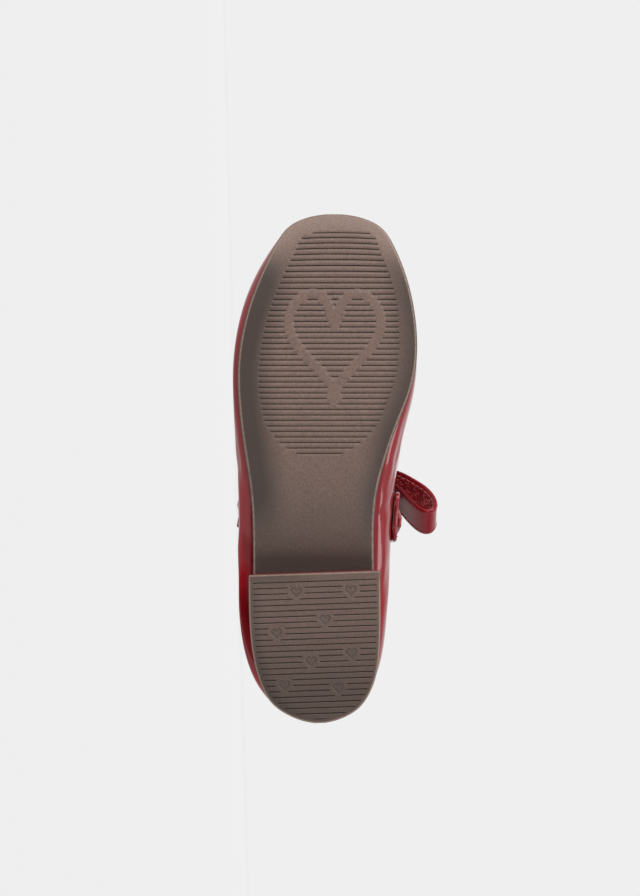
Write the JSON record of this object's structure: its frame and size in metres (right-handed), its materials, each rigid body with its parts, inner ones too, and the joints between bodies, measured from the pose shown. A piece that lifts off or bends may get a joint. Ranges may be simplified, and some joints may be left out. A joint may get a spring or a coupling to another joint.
{
  "type": "mary jane shoe",
  "caption": "Child's right mary jane shoe in red patent with a ribbon bow on the instep strap, a brown rubber sole with ribbed tread and a low block heel.",
  "frame": {"origin": "centre of the bounding box's bottom face, on the floor that the shoe lies on", "axes": "the shoe lies on its outer side: -X points to the toe, +Y about to the top of the shoe, so its sole faces -Y, and +Z to its inner side"},
  "size_m": [0.1912, 0.0856, 0.0799],
  "materials": {
    "sole_rubber": "matt moulded brown rubber",
    "red_patent": "high gloss red patent",
    "footbed": "matt beige lining"
  },
  "bodies": {
    "root": {"outsole": "sole_rubber", "top_lift": "sole_rubber", "heel_block": "red_patent", "insole": "footbed", "upper": "red_patent", "instep_strap": "red_patent", "bow_loop_medial": "red_patent", "bow_loop_lateral": "red_patent", "bow_knot": "red_patent", "bow_tail_medial": "red_patent", "bow_tail_lateral": "red_patent"}
  },
  "joints": []
}
